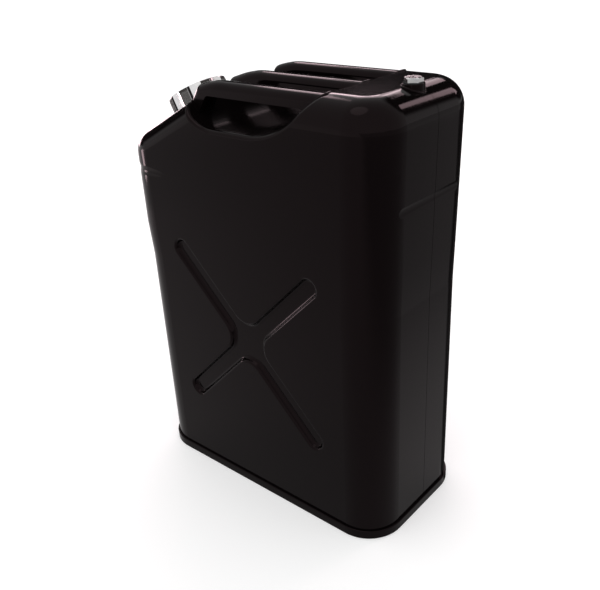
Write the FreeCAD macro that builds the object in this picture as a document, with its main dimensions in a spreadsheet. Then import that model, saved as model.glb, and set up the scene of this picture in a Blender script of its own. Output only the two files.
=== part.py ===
"""Twenty litre steel petrol can: two pressed halves, a rolled base, three handles, a screw cap and a vent plug.

Millimetres, +Z up. The origin is the middle of the underside. +X points to the hump with the vent plug, -X to the
sloping shoulder with the filler, and the broad sides face -Y (near) and +Y (far).
"""
import FreeCAD, Part
import math
import os

import Sketcher

doc = FreeCAD.newDocument("gas_can")
sheet = doc.addObject("Spreadsheet::Sheet", "Sizes")

# Every driving dimension, in millimetres or degrees.
SIZES = {
    # body outline; a drop is measured down from the body's top and a setback inward from its front or rear end
    "body_length": 340.0, "body_depth": 168.0, "corner_radius": 41.0, "body_height": 471.5, "wall": 1.0,
    "end_length": 60.0,
    "swell_start_drop": 206.5, "swell_end_drop": 166.5, "front_swell": 3.8, "rear_swell": 1.0,
    "rear_swell_top": 3.8, "rear_swell_drop": 31.5, "hump_radius": 28.0,
    # sloping shoulder at the front
    "crest_setback": 103.3, "crest_drop": 21.6, "shoulder_angle": 27.5, "shoulder_radius": 20.0,
    # trough under the handles
    "trough_drop": 43.5, "trough_front_setback": 116.0, "trough_front_angle": 60.0, "trough_front_radius": 45.0,
    "trough_rear_setback": 114.0, "trough_rear_angle": 44.0, "trough_rear_radius": 100.0,
    "trough_edge_radius": 4.0, "hump_front_radius": 8.0, "shoulder_block": 124.0,
    # pressed X on each broad side
    "press_x": -2.0, "press_z": 196.6, "press_reach": 137.7, "press_turn": 45.0, "press_width": 20.0,
    "press_depth": 5.5, "press_end_radius": 9.6, "press_crotch": 22.0, "press_floor_radius": 4.5,
    "press_lip_radius": 3.0,
    # shallow bead round the front end and across the rear end
    "bead_drop": 102.0, "bead_depth": 0.8, "bead_radius": 18.0, "bead_front_fade": 77.0,
    "bead_fade_rise": 1.1,
    # vertical seam of the two halves
    "seam_y": 8.0, "lap": 12.0, "lap_gap": 0.5, "lap_overlap": 2.0,
    # base and chime
    "chime_height": 10.5, "chime_proud": 2.4, "chime_sheet": 1.0, "chime_roll": 1.1, "pan_height": 7.0,
    "seam_clearance": 0.1,
    # handles; the middle one reaches further forward
    "handle_spacing": 58.0, "handle_width": 20.0, "handle_depth": 14.5, "handle_drop": 0.5,
    "handle_sheet": 1.5, "handle_edge": 8.0, "handle_lip": 4.5, "handle_end_setback": 65.0,
    "handle_ramp_setback": 128.0, "handle_ramp_angle": 17.5, "handle_ramp_radius": 100.0,
    "handle_corner_setback": 110.0, "handle_corner_radius": 9.5, "handle_inner_radius": 6.0,
    "handle_leg_angle": 55.5, "handle_leg_depth": 16.5, "handle_foot": 41.0, "middle_reach": 12.0,
    # filler neck, collar and cap, measured along the neck's axis from the shoulder's sheet
    "neck_setback": 48.0, "neck_radius": 31.0, "neck_bore": 29.2, "neck_height": 19.7, "neck_lip_bore": 26.5,
    "neck_lip": 2.2, "neck_lip_round": 0.7, "neck_flange_radius": 34.5, "neck_flange": 1.5,
    "neck_spigot_radius": 30.8, "neck_spigot": 3.0, "collar_radius": 36.2, "collar_height": 5.0,
    "collar_roll": 1.6,
    "cap_radius": 34.6, "cap_start": 5.6, "cap_sheet": 1.2, "cap_edge": 2.5, "cap_foot_round": 0.6,
    "cap_clearance": 0.6, "flute_radius": 48.0, "flute_depth": 1.6, "flute_count": 8.0,
    "seal_gap": 0.1, "disc_sheet": 1.5, "gasket_thickness": 3.0, "gasket_bore": 24.0, "gasket_round": 0.5,
    "disc_clearance": 0.8,
    "rivet_radius": 4.0, "rivet_head": 7.0, "rivet_head_height": 1.6, "rivet_dome": 1.4, "rivet_clearance": 0.05,
    # vent boss, washer and plug
    "vent_setback": 18.5, "boss_radius": 10.75, "boss_height": 2.8, "boss_round": 0.6, "boss_root": 8.0,
    "vent_bore": 6.0, "vent_clearance": 0.05, "vent_shank": 10.0, "vent_washer_radius": 9.0,
    "vent_washer_bore": 6.4, "vent_washer": 0.9, "vent_hexagon": 16.0, "vent_head": 4.2, "vent_chamfer": 1.0,
    "vent_chamfer_inset": 0.3,
    # how far a hole's tool reaches past the sheet to each side
    "hole_reach": 12.0,
}
for row, (alias, size) in enumerate(SIZES.items(), start=1):
    sheet.set(f"A{row}", alias)
    sheet.set(f"B{row}", f"{size:g}")
    sheet.setAlias(f"B{row}", alias)
doc.recompute()


def number(expression):
    """The value of a size expression, as the sheet works it out."""
    return float(sheet.evalExpression(expression))


# Expressions that several pieces share.
FRONT = "(-Sizes.body_length / 2)"
REAR = "(Sizes.body_length / 2)"
CREST_X, CREST_Z = f"({FRONT} + Sizes.crest_setback)", "(Sizes.body_height - Sizes.crest_drop)"
SHOULDER_RISE = "tan(Sizes.shoulder_angle)"
NECK_X = f"({FRONT} + Sizes.neck_setback)"
NECK_Z = f"({CREST_Z} + ({NECK_X} - {CREST_X}) * {SHOULDER_RISE})"
VENT_X = f"({REAR} - Sizes.vent_setback)"
TROUGH_Z = "(Sizes.body_height - Sizes.trough_drop)"
TROUGH_FRONT = f"({FRONT} + Sizes.trough_front_setback)"
BEAD_Z = "(Sizes.body_height - Sizes.bead_drop)"
SWELL_END = "(Sizes.body_height - Sizes.swell_end_drop)"
REAR_SWELL_Z = "(Sizes.body_height - Sizes.rear_swell_drop)"
BELOW = "-Sizes.chime_height"
PLANES = {"XY": (FreeCAD.Vector(0, 0, 1), 0), "XZ": (FreeCAD.Vector(1, 0, 0), 90)}


def outline(name, corners, plane="XZ", level="0", body=None, closed=True):
    """A sketch of straight sides with round corners. Each corner is (across, up, radius), size expressions."""
    if body:
        sketch = body.newObject("Sketcher::SketchObject", name)
        origin = [item for item in body.Origin.OriginFeatures if item.Role == f"{plane}_Plane"][0]
        sketch.AttachmentSupport = (origin, "")
        sketch.MapMode = "FlatFace"
        sketch.setExpression("AttachmentOffset.Base.z", level)
    else:
        sketch = doc.addObject("Sketcher::SketchObject", name)
        axis, turn = PLANES[plane]
        sketch.Placement = FreeCAD.Placement(FreeCAD.Vector(), FreeCAD.Rotation(axis, turn))
        sketch.setExpression("Placement.Base.z" if plane == "XY" else "Placement.Base.y", level)
    add_outline(sketch, corners, closed)
    return sketch


def add_outline(sketch, corners, closed=True):
    """Adds one outline to a sketch and ties each corner and radius to its expression."""
    count = len(corners)
    points = [FreeCAD.Vector(number(across), number(up), 0) for across, up, _ in corners]
    radii = [number(radius) for _, _, radius in corners]
    starts, ends, arcs = [], [], []
    for i, (point, radius) in enumerate(zip(points, radii)):
        back = (points[i - 1] - point).normalize()
        ahead = (points[(i + 1) % count] - point).normalize()
        half = back.getAngle(ahead) / 2
        run = radius / math.tan(half)
        ends.append(point + back * run)
        starts.append(point + ahead * run)
        centre = point + (back + ahead).normalize() * (radius / math.sin(half))
        left_turn = back.cross(ahead).z < 0
        arcs.append((centre, left_turn))
    sides = count if closed else count - 1
    lines = [sketch.addGeometry(Part.LineSegment(starts[i], ends[(i + 1) % count])) for i in range(sides)]
    for i, (across, up, radius) in enumerate(corners):
        before, after = lines[i - 1], lines[i] if i < sides else None
        if after is None:
            place = (before, 2)
        elif radii[i] == 0:
            place = (after, 1)
            if closed or i > 0:
                sketch.addConstraint(Sketcher.Constraint("Coincident", before, 2, after, 1))
        else:
            centre, left_turn = arcs[i]
            first, last = (ends[i], starts[i]) if left_turn else (starts[i], ends[i])
            turn = [math.atan2(p.y - centre.y, p.x - centre.x) for p in (first, last)]
            circle = Part.Circle(centre, FreeCAD.Vector(0, 0, 1), radii[i])
            arc = sketch.addGeometry(Part.ArcOfCircle(circle, turn[0], turn[1]))
            entry, leave = (1, 2) if left_turn else (2, 1)
            sketch.addConstraint(Sketcher.Constraint("Tangent", before, 2, arc, entry))
            sketch.addConstraint(Sketcher.Constraint("Tangent", arc, leave, after, 1))
            bend = sketch.addConstraint(Sketcher.Constraint("Radius", arc, radii[i]))
            sketch.setExpression(f"Constraints[{bend}]", radius)
            corner = sketch.addGeometry(Part.Point(points[i]), True)
            sketch.addConstraint(Sketcher.Constraint("PointOnObject", corner, 1, before))
            sketch.addConstraint(Sketcher.Constraint("PointOnObject", corner, 1, after))
            place = (corner, 1)
        for kind, expression, amount in (("DistanceX", across, points[i].x), ("DistanceY", up, points[i].y)):
            tie = sketch.addConstraint(Sketcher.Constraint(kind, -1, 1, *place, amount))
            sketch.setExpression(f"Constraints[{tie}]", expression)


def plan_end(name, level, end, join, inset):
    """One end of the can's plan at one level, drawn in by inset: two round corners and a straight cut at join."""
    side = f"(Sizes.body_depth / 2 - ({inset}))"
    radius = f"Sizes.corner_radius - ({inset})"
    corners = [(join, side, "0"), (end, side, radius), (end, f"-{side}", radius), (join, f"-{side}", "0")]
    return outline(name, corners, "XY", level)


def shape_step(kind, name, **links):
    """Adds one Part step to the document with its links set, and works it out."""
    step = doc.addObject(kind, name)
    for prop, value in links.items():
        setattr(step, prop, value)
    doc.recompute([step])
    return step


def prism(name, sketch, reach):
    """A sketch of the XZ plane, extruded across the can, half of reach to each side."""
    step = doc.addObject("Part::Extrusion", name)
    step.Base = sketch
    step.DirMode = "Custom"
    step.Dir = FreeCAD.Vector(0, 1, 0)
    step.Solid = True
    step.Symmetric = True
    step.setExpression("LengthFwd", reach)
    doc.recompute([sketch, step])
    return step


def middle(edge):
    """The point half way along an edge."""
    return edge.valueAt((edge.FirstParameter + edge.LastParameter) / 2)


def round_edges(name, base, groups):
    """A fillet step. Each group is (test of an edge, radius)."""
    step = doc.addObject("Part::Fillet", name)
    step.Base = base
    chosen = []
    for test, radius in groups:
        for i, edge in enumerate(base.Shape.Edges, start=1):
            if test(edge):
                chosen.append((i, radius, radius))
    step.Edges = chosen
    doc.recompute([step])
    return step


def cut_level(expression_x, inset):
    """Height of the sloping shoulder at a place along the can, drawn in by inset."""
    rise = f"({expression_x} - {CREST_X}) * {SHOULDER_RISE}"
    return f"{CREST_Z} + {rise} - ({inset}) / cos(Sizes.shoulder_angle)"


def press_tool(name, inset):
    """What the press for the X takes away on the near side; deeper and wider by inset for the inner face."""
    reach, half = f"(Sizes.press_reach + {inset})", f"(Sizes.press_width / 2 + {inset})"
    end, crotch = f"Sizes.press_end_radius + {inset}", f"Sizes.press_crotch - ({inset})"
    corners = []
    for a, b in (("", ""), ("-", ""), ("-", "-"), ("", "-")):
        arm = [(f"{a}{reach}", f"{b}{half}", end), (f"{a}{half}", f"{b}{half}", crotch),
               (f"{a}{half}", f"{b}{reach}", end)]
        corners += arm if a == b else arm[::-1]
    sketch = outline(f"{name}_outline", corners)
    upright = FreeCAD.Rotation(FreeCAD.Vector(1, 0, 0), 90)
    turned = FreeCAD.Rotation(FreeCAD.Vector(0, 1, 0), number("Sizes.press_turn"))
    sketch.Placement = FreeCAD.Placement(FreeCAD.Vector(), turned.multiply(upright))
    sketch.setExpression("Placement.Base.x", "Sizes.press_x")
    sketch.setExpression("Placement.Base.y", "-Sizes.body_depth")
    sketch.setExpression("Placement.Base.z", "Sizes.press_z")
    punch = doc.addObject("Part::Extrusion", f"{name}_punch")
    punch.Base, punch.DirMode, punch.Dir, punch.Solid = sketch, "Custom", FreeCAD.Vector(0, 1, 0), True
    punch.setExpression("LengthFwd", f"Sizes.body_depth / 2 + Sizes.press_depth + {inset}")
    doc.recompute()
    floor = number(f"-Sizes.body_depth / 2 + Sizes.press_depth + {inset}")
    radius = number(f"Sizes.press_floor_radius + {inset}")
    return round_edges(name, punch, [(lambda edge: abs(middle(edge).y - floor) < 0.01, radius)])


def can_form(name, inset):
    """The can's skin as a solid, drawn in by inset: walls, hump, sloping shoulder and trough."""
    bottom, top = f"-({inset})", f"Sizes.body_height - ({inset})"
    levels = [(bottom, "0", "0"), ("Sizes.body_height - Sizes.swell_start_drop", "0", "0"),
              (SWELL_END, "Sizes.front_swell", "Sizes.rear_swell"),
              (REAR_SWELL_Z, "Sizes.front_swell", "Sizes.rear_swell_top"),
              (top, "Sizes.front_swell", "Sizes.rear_swell_top")]
    front_join, rear_join = f"({FRONT} + Sizes.end_length)", f"({REAR} - Sizes.end_length)"
    fronts = [plan_end(f"{name}_front_{i}", level, f"{FRONT} - {front} + ({inset})", front_join, inset)
              for i, (level, front, rear) in enumerate(levels)]
    rears = [plan_end(f"{name}_rear_{i}", level, f"{REAR} + {rear} - ({inset})", rear_join, inset)
             for i, (level, front, rear) in enumerate(levels)]
    doc.recompute()
    front_end = shape_step("Part::Loft", f"{name}_front_end", Sections=fronts, Solid=True, Ruled=True)
    rear_end = shape_step("Part::Loft", f"{name}_rear_end", Sections=rears, Solid=True, Ruled=True)
    centre = doc.addObject("Part::Box", f"{name}_centre")
    centre.setExpression("Length", f"{rear_join} - {front_join}")
    centre.setExpression("Width", f"Sizes.body_depth - 2 * ({inset})")
    centre.setExpression("Height", f"{top} - ({bottom})")
    centre.setExpression("Placement.Base.x", front_join)
    centre.setExpression("Placement.Base.y", f"-Sizes.body_depth / 2 + {inset}")
    centre.setExpression("Placement.Base.z", bottom)
    doc.recompute([centre])
    walls = shape_step("Part::MultiFuse", f"{name}_walls", Shapes=[front_end, centre, rear_end], Refine=True)
    lid = number(top)
    hump_radius = number(f"Sizes.hump_radius - ({inset})")
    humped = round_edges(f"{name}_humped", walls,
                         [(lambda edge: all(v.Z > lid - 0.01 for v in edge.Vertexes), hump_radius)])

    # The split between the shoulder's block and the hump's block lies over the trough, which cuts both away.
    split, far = f"({FRONT} + Sizes.shoulder_block)", "Sizes.body_length"
    slope = [(f"-{far}", BELOW, "0"), (split, BELOW, "0"), (split, cut_level(split, inset), "0"),
             (f"-{far}", cut_level(f"-{far}", inset), "0")]
    slope_side = prism(f"{name}_slope_side", outline(f"{name}_slope", slope), "Sizes.body_depth * 2")
    tall = "Sizes.body_height * 2"
    rear_corners = [(split, BELOW, "0"), (far, BELOW, "0"), (far, tall, "0"), (split, tall, "0")]
    rear_side = prism(f"{name}_rear_side", outline(f"{name}_rear", rear_corners), "Sizes.body_depth * 2")
    block = shape_step("Part::Common", f"{name}_block", Base=walls, Tool=slope_side)
    split_x = number(split)

    def on_slope(edge):
        heights = [abs(v.Z - number(cut_level(f"({v.X:.6f})", inset))) < 0.01 for v in edge.Vertexes]
        return all(heights) and middle(edge).x < split_x - 0.5

    shoulder_radius = number(f"Sizes.shoulder_radius - ({inset})")
    shoulder = round_edges(f"{name}_shoulder", block, [(on_slope, shoulder_radius)])
    hump = shape_step("Part::Common", f"{name}_hump", Base=humped, Tool=rear_side)
    whole = shape_step("Part::MultiFuse", f"{name}_whole", Shapes=[shoulder, hump], Refine=True)

    # The trough under the handles, cut across the whole depth.
    floor, high = f"({TROUGH_Z} - ({inset}))", "(Sizes.body_height + 2 * Sizes.trough_drop)"
    front_x = f"({TROUGH_FRONT} - ({inset}) * tan(Sizes.trough_front_angle / 2))"
    rear_x = f"({REAR} - Sizes.trough_rear_setback + ({inset}) * tan(Sizes.trough_rear_angle / 2))"
    trough = [(front_x, floor, f"Sizes.trough_front_radius + {inset}"),
              (rear_x, floor, f"Sizes.trough_rear_radius + {inset}"),
              (f"{rear_x} + ({high} - {floor}) / tan(Sizes.trough_rear_angle)", high, "0"),
              (f"{front_x} - ({high} - {floor}) / tan(Sizes.trough_front_angle)", high, "0")]
    trough_tool = prism(f"{name}_trough_tool", outline(f"{name}_trough", trough), "Sizes.body_depth * 2")
    dished = shape_step("Part::Cut", f"{name}_dished", Base=whole, Tool=trough_tool)

    side = number(f"Sizes.body_depth / 2 - ({inset})")
    trough_floor, crest = number(floor), number(CREST_X)
    crest_top = number(f"{CREST_Z} + Sizes.trough_edge_radius")
    lid_front = number(f"{VENT_X} - 2 * Sizes.boss_radius")
    edge_radius = number(f"Sizes.trough_edge_radius - ({inset})")

    def on_side(edge):
        point, heights = middle(edge), [v.Z for v in edge.Vertexes]
        level_above_floor = max(heights) - min(heights) < 0.01 and point.z > trough_floor + 1
        return min(heights) > trough_floor - 1 and point.z < crest_top and not level_above_floor \
            and abs(abs(point.y) - side) < 1 and crest - 2 < point.x < lid_front

    def on_crest(edge):
        return abs(middle(edge).y) < 0.2 and abs(middle(edge).x - crest) < 3

    def on_hump_front(edge):
        return abs(middle(edge).y) < 0.2 and middle(edge).z > lid - 1 and middle(edge).x < lid_front

    front_radius = number(f"Sizes.hump_front_radius - ({inset})")
    return round_edges(f"{name}_rounded", dished,
                       [(on_side, edge_radius), (on_crest, edge_radius), (on_hump_front, front_radius)])


def circle(sketch, across, up, radius):
    """Adds a circle to a sketch and ties its centre and radius to their expressions."""
    centre = FreeCAD.Vector(number(across), number(up), 0)
    ring = sketch.addGeometry(Part.Circle(centre, FreeCAD.Vector(0, 0, 1), number(radius)))
    ties = [("DistanceX", (-1, 1, ring, 3, centre.x), across), ("DistanceY", (-1, 1, ring, 3, centre.y), up),
            ("Radius", (ring, number(radius)), radius)]
    for kind, place, expression in ties:
        tie = sketch.addConstraint(Sketcher.Constraint(kind, *place))
        sketch.setExpression(f"Constraints[{tie}]", expression)


def bead_tool(name, side, fade_x, end_x, inset):
    """The round bar that leaves the shallow bead: it follows one end and leaves the broad sides at fade_x."""
    away = "(Sizes.bead_radius - Sizes.bead_depth)"
    slope = f"(Sizes.bead_fade_rise / abs({fade_x} - ({end_x}) + {side} * Sizes.corner_radius))"
    corner_y = f"(Sizes.body_depth / 2 + {away} - {slope} * (Sizes.corner_radius + {away}))"
    fade_y = f"({corner_y} + {slope} * abs({fade_x} - ({end_x}) - {side} * {away}))"
    corner_x, radius = f"({end_x}) + {side} * {away}", f"Sizes.corner_radius + {away}"
    corners = [(fade_x, f"-{fade_y}", "0"), (corner_x, f"-{corner_y}", radius), (corner_x, corner_y, radius),
               (fade_x, fade_y, "0")]
    path = outline(f"{name}_path", corners, "XY", BEAD_Z, closed=False)
    section = doc.addObject("Sketcher::SketchObject", f"{name}_section")
    section.Placement = FreeCAD.Placement(FreeCAD.Vector(), FreeCAD.Rotation(FreeCAD.Vector(1, 1, 1), 120))
    section.setExpression("Placement.Base.x", fade_x)
    circle(section, f"-{fade_y}", BEAD_Z, f"Sizes.bead_radius + {inset}")
    doc.recompute()
    edges = [f"Edge{i + 1}" for i in range(len(path.Shape.Edges))]
    return shape_step("Part::Sweep", name, Sections=[section], Spine=(path, edges), Solid=True)


def bead_bar(name, end_x, inset):
    """The straight round bar that leaves the shallow bead across one end, out to the rounded corners."""
    bar = doc.addObject("Part::Cylinder", name)
    bar.Placement.Rotation = FreeCAD.Rotation(FreeCAD.Vector(1, 0, 0), -90)
    bar.setExpression("Radius", f"Sizes.bead_radius + {inset}")
    bar.setExpression("Height", "Sizes.body_depth")
    bar.setExpression("Placement.Base.x", f"({end_x}) + Sizes.bead_radius - Sizes.bead_depth")
    bar.setExpression("Placement.Base.y", "-Sizes.body_depth / 2")
    bar.setExpression("Placement.Base.z", BEAD_Z)
    doc.recompute([bar])
    return bar


def skin_form(name, inset):
    """The can's skin with the X and the bead pressed in, drawn in by inset."""
    plain = can_form(name, inset)
    near = press_tool(f"{name}_press", inset)
    far = shape_step("Part::Mirroring", f"{name}_press_far", Source=near, Normal=FreeCAD.Vector(0, 1, 0))
    tools = shape_step("Part::MultiFuse", f"{name}_press_tools", Shapes=[near, far])
    pressed = shape_step("Part::Cut", f"{name}_pressed", Base=plain, Tool=tools)
    side = number(f"Sizes.body_depth / 2 - ({inset})")
    reach, middle_x, middle_z = (number(f"Sizes.{size}") for size in ("press_reach", "press_x", "press_z"))

    def on_lip(edge):
        point = middle(edge)
        near_press = math.hypot(point.x - middle_x, point.z - middle_z) < reach + 5
        return abs(abs(point.y) - side) < 0.01 and near_press

    lip_radius = number(f"Sizes.press_lip_radius - ({inset})")
    lipped = round_edges(f"{name}_lipped", pressed, [(on_lip, lip_radius)])
    return plain, add_beads(name, lipped, inset)


def add_beads(name, form, inset):
    """Takes the bead at both ends out of a form."""
    share = f"({BEAD_Z} - {SWELL_END}) / ({REAR_SWELL_Z} - {SWELL_END})"
    rear_x = f"{REAR} + Sizes.rear_swell + (Sizes.rear_swell_top - Sizes.rear_swell) * {share}"
    front_fade = f"({FRONT} + Sizes.bead_front_fade)"
    front = bead_tool(f"{name}_front_bead", "-1", front_fade, f"{FRONT} - Sizes.front_swell", inset)
    rear = bead_bar(f"{name}_rear_bead", rear_x, inset)
    beads = shape_step("Part::MultiFuse", f"{name}_beads", Shapes=[front, rear])
    return shape_step("Part::Cut", f"{name}_beaded", Base=form, Tool=beads)


def block(name, low, high):
    """A box between two corners, given as size expressions."""
    box = doc.addObject("Part::Box", name)
    for size, axis, start, end in zip(("Length", "Width", "Height"), "xyz", low, high):
        box.setExpression(size, f"({end}) - ({start})")
        box.setExpression(f"Placement.Base.{axis}", start)
    doc.recompute([box])
    return box


def new_body(name, centre=("0", "0", "0"), tilted=False):
    """An empty body at a place, tilted like the filler neck where asked."""
    body = doc.addObject("PartDesign::Body", name)
    if tilted:
        body.Placement.Rotation = FreeCAD.Rotation(FreeCAD.Vector(0, -1, 0), number("Sizes.shoulder_angle"))
        body.setExpression("Placement.Rotation.Angle", "Sizes.shoulder_angle")
    for axis, place in zip("xyz", centre):
        body.setExpression(f"Placement.Base.{axis}", place)
    return body


def turned(name, corners, centre, tilted=False):
    """A piece turned on a lathe: the profile (radius, up, rounding) goes once round the body's own Z axis."""
    body = new_body(name, centre, tilted)
    sketch = outline(f"{name}_profile", corners, body=body)
    turn = body.newObject("PartDesign::Revolution", f"{name}_turn")
    turn.Profile = sketch
    turn.ReferenceAxis = (sketch, ["V_Axis"])
    turn.Angle = 360
    sketch.Visibility = False
    doc.recompute()
    return body


def pad(body, name, sketch, length):
    """Pads a sketch of a body upward by a size expression."""
    step = body.newObject("PartDesign::Pad", name)
    step.Profile = sketch
    step.setExpression("Length", length)
    doc.recompute()
    return step


def pocket(body, name, sketch, depth, upward=False):
    """Pockets a sketch of a body downward, or upward, and checks that it takes material away."""
    before = body.Shape.Volume
    step = body.newObject("PartDesign::Pocket", name)
    step.Profile = sketch
    step.Reversed = upward
    step.setExpression("Length", depth)
    doc.recompute()
    if body.Shape.Volume > before - 0.01:
        raise ValueError(f"{name} takes nothing away")
    return step


pieces = {}


def piece(label, shape):
    """Names a finished object as one of the can's pieces."""
    shape.Label = label
    pieces[label] = shape


# The two pressed halves. The far half's edge is stepped in by a sheet and goes under the near half.
plain_skin, skin = skin_form("skin", "0")
plain_inner, inner = skin_form("inner", "Sizes.wall")
second = add_beads("second", can_form("second", "2 * Sizes.wall"), "2 * Sizes.wall")
NECK = (NECK_X, "0", NECK_Z)
VENT = (VENT_X, "0", "Sizes.body_height")
SHEET_FOOT = "Sizes.chime_sheet + Sizes.seam_clearance"
WIDE, HIGH = "Sizes.body_length", "Sizes.body_height * 2"
sheet_wall = shape_step("Part::Cut", "sheet_wall", Base=skin, Tool=inner)
sheet_flange = shape_step("Part::Cut", "sheet_flange", Base=inner, Tool=second)
near_box = block("near_box", (f"-{WIDE}", f"-{WIDE}", SHEET_FOOT), (WIDE, "Sizes.seam_y", HIGH))
far_box = block("far_box", (f"-{WIDE}", "Sizes.seam_y + Sizes.lap_gap", SHEET_FOOT), (WIDE, WIDE, HIGH))
FLANGE_FOOT = "Sizes.chime_height + Sizes.seam_clearance"
flange_box = block("flange_box", (f"-{WIDE}", "Sizes.seam_y - Sizes.lap", FLANGE_FOOT),
                   (WIDE, "Sizes.seam_y + Sizes.lap_gap + Sizes.lap_overlap", HIGH))
near_wall = shape_step("Part::Common", "near_wall", Base=sheet_wall, Tool=near_box)
far_wall = shape_step("Part::Common", "far_wall", Base=sheet_wall, Tool=far_box)
lap_flange = shape_step("Part::Common", "lap_flange", Base=sheet_flange, Tool=flange_box)
far_sheet = shape_step("Part::MultiFuse", "far_sheet", Shapes=[far_wall, lap_flange])

neck_hole = doc.addObject("Part::Cylinder", "neck_hole")
neck_hole.setExpression("Radius", "Sizes.neck_spigot_radius + Sizes.seam_clearance")
neck_hole.setExpression("Height", "2 * Sizes.hole_reach")
neck_hole.Placement.Rotation = FreeCAD.Rotation(FreeCAD.Vector(0, -1, 0), number("Sizes.shoulder_angle"))
neck_hole.setExpression("Placement.Rotation.Angle", "Sizes.shoulder_angle")
neck_hole.setExpression("Placement.Base.x", f"{NECK_X} + Sizes.hole_reach * sin(Sizes.shoulder_angle)")
neck_hole.setExpression("Placement.Base.z", f"{NECK_Z} - Sizes.hole_reach * cos(Sizes.shoulder_angle)")
vent_hole = doc.addObject("Part::Cylinder", "vent_hole")
vent_hole.setExpression("Radius", "Sizes.vent_washer_bore")
vent_hole.setExpression("Height", "2 * Sizes.hole_reach")
vent_hole.setExpression("Placement.Base.x", VENT_X)
vent_hole.setExpression("Placement.Base.z", "Sizes.body_height - Sizes.hole_reach")
doc.recompute()
holes = shape_step("Part::MultiFuse", "sheet_holes", Shapes=[neck_hole, vent_hole])
piece("near_shell", shape_step("Part::Cut", "near_half", Base=near_wall, Tool=holes))
piece("far_shell", shape_step("Part::Cut", "far_half", Base=far_sheet, Tool=holes))


def plan_corners(outset):
    """The corners of the can's plan at its foot, drawn out by outset."""
    side, radius = f"(Sizes.body_depth / 2 + {outset})", f"Sizes.corner_radius + {outset}"
    front, rear = f"{FRONT} - ({outset})", f"{REAR} + {outset}"
    return [(front, f"-{side}", radius), (rear, f"-{side}", radius), (rear, side, radius),
            (front, side, radius)]


def base_plan(body, name, level, outset):
    """The can's plan at its foot as a sketch of the base."""
    return outline(name, plan_corners(outset), "XY", level, body)


# The base: a flat pan set up inside the rim, and the chime that is rolled round the foot of the two halves.
base = new_body("base")
rim = pad(base, "rim_pad", base_plan(base, "rim_plan", "0", "Sizes.chime_proud"), "Sizes.chime_height")
roll = base.newObject("PartDesign::Fillet", "chime_roll")
outer_edges = [f"Edge{i}" for i, edge in enumerate(rim.Shape.Edges, start=1)
               if edge.Vertexes[0].Z == edge.Vertexes[-1].Z]
roll.Base = (rim, outer_edges)
roll.setExpression("Radius", "Sizes.chime_roll")
doc.recompute()
WALL_INSIDE = "(-Sizes.wall - Sizes.seam_clearance)"
PAN_INSIDE = f"({WALL_INSIDE} - Sizes.chime_sheet)"
PAN_TOP = "(Sizes.pan_height + Sizes.chime_sheet)"
pocket(base, "pan_top", base_plan(base, "pan_top_plan", "Sizes.chime_height", PAN_INSIDE),
       f"Sizes.chime_height - {PAN_TOP}")
pocket(base, "pan_foot", base_plan(base, "pan_foot_plan", "0", PAN_INSIDE), "Sizes.pan_height", upward=True)
slot = base_plan(base, "slot_plan", "Sizes.chime_height", "Sizes.seam_clearance")
add_outline(slot, plan_corners(WALL_INSIDE))
pocket(base, "seam_slot", slot, "Sizes.chime_height - Sizes.chime_sheet")
piece("base_pan", base)


# The handles: channels open underneath, with lips turned in at the open edges. The top runs level, slopes gently
# towards the front and then turns down a steep leg.
HANDLE_TOP = "(Sizes.body_height - Sizes.handle_drop)"
HANDLE_END, RAMP_X = f"({REAR} - Sizes.handle_end_setback)", f"({FRONT} + Sizes.handle_ramp_setback)"
RAMP, LEG = "tan(Sizes.handle_ramp_angle)", "tan(Sizes.handle_leg_angle)"
RAMP_TURN = "tan(Sizes.handle_ramp_angle / 2)"
CORNER_SHIFT = f"((1 / cos(Sizes.handle_leg_angle) - 1 / cos(Sizes.handle_ramp_angle)) / ({LEG} - {RAMP}))"


def ramp_level(place, drop):
    """Height of a handle's sloping face at a place along the can, drop under the outside."""
    return f"({HANDLE_TOP} + ({place} - {RAMP_X}) * {RAMP} - ({drop}) / cos(Sizes.handle_ramp_angle))"


def corner_x(front_reach):
    """Place along the can of the corner between a handle's ramp and its leg."""
    return f"({FRONT} + Sizes.handle_corner_setback - {front_reach})"


def handle_side(name, front_reach, drop, rise):
    """Side outline of a handle: drop inside its top and front, rise above its open edge."""
    corner = corner_x(front_reach)
    corner_z = ramp_level(corner, "0")

    def on_leg(level, depth):
        return f"({corner} + ({level} - {corner_z} + ({depth}) / cos(Sizes.handle_leg_angle)) / {LEG})"

    top, under = f"({HANDLE_TOP} - ({drop}))", f"({HANDLE_TOP} - Sizes.handle_depth + {rise})"
    foot, leg_depth = f"({HANDLE_TOP} - Sizes.handle_foot)", f"Sizes.handle_leg_depth - ({rise})"
    front = f"({corner} + ({drop}) * {CORNER_SHIFT})"
    return outline(name, [
        (HANDLE_END, top, "0"),
        (f"({RAMP_X} + ({drop}) * {RAMP_TURN})", top, f"Sizes.handle_ramp_radius - ({drop})"),
        (front, ramp_level(front, drop), f"Sizes.handle_corner_radius - ({drop})"),
        (on_leg(foot, drop), foot, "0"), (on_leg(foot, leg_depth), foot, "0"),
        (on_leg(under, leg_depth), under, f"Sizes.handle_inner_radius + {rise}"), (HANDLE_END, under, "0")])


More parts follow.
